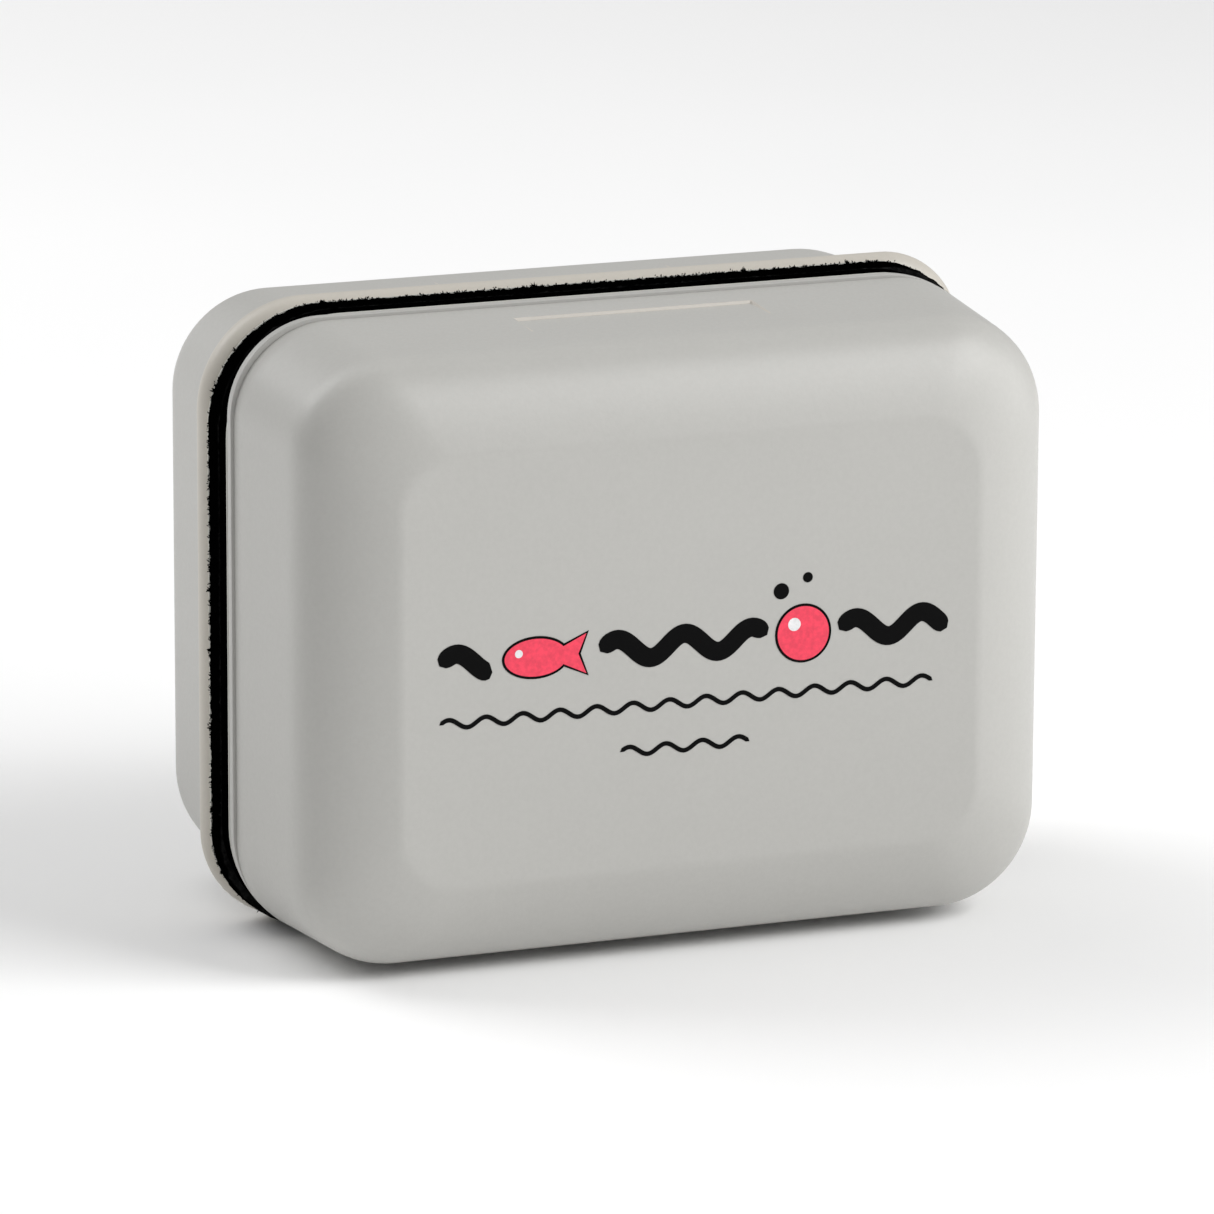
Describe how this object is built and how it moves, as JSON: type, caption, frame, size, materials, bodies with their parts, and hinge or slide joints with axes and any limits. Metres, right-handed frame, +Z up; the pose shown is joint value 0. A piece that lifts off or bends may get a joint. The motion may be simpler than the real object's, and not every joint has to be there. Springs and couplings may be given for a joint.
{
  "type": "magnetic glass cleaner",
  "caption": "Magnetic aquarium glass cleaner: a pillow-shaped handle half with a felt pad and a floating half with a scrub pad, held pad to pad by sealed magnets.",
  "frame": {"origin": "centre of the bottom of the bounding box, midway between the two halves, with the pair standing on its long side", "axes": "+X along the pair's width, +Y from the handle half to the floating half, square to the glass, +Z up"},
  "size_m": [0.1108, 0.0696, 0.0862],
  "materials": {
    "shell_plastic": "satin",
    "handle_plate_plastic": "satin",
    "float_plate_plastic": "satin",
    "magnet_nickel": "satin",
    "yoke_steel": "satin",
    "foam": "matte",
    "adhesive_film": "satin",
    "felt": "matte",
    "scrub_fibre": "matte",
    "ink_dark": "satin",
    "ink_coral": "satin",
    "ink_white": "satin"
  },
  "bodies": {
    "float_half": {"float_shell": "shell_plastic", "float_base_plate": "float_plate_plastic", "float_magnet_upper_left": "magnet_nickel", "float_magnet_upper_right": "magnet_nickel", "float_magnet_lower_left": "magnet_nickel", "float_magnet_lower_right": "magnet_nickel", "float_steel_yoke": "yoke_steel", "float_press_foam": "foam", "float_pad_adhesive": "adhesive_film", "float_scrub_pad": "scrub_fibre"},
    "handle_half": {"handle_shell": "shell_plastic", "handle_base_plate": "handle_plate_plastic", "handle_magnet_upper_left": "magnet_nickel", "handle_magnet_upper_right": "magnet_nickel", "handle_magnet_lower_left": "magnet_nickel", "handle_magnet_lower_right": "magnet_nickel", "handle_steel_yoke": "yoke_steel", "handle_press_foam": "foam", "handle_pad_adhesive": "adhesive_film", "handle_felt_pad": "felt"}
  },
  "joints": [
    {"name": "pull_apart", "type": "slide", "parent": "float_half", "child": "handle_half", "axis": [0, -1, 0], "range_m": [0, 0.06]}
  ]
}
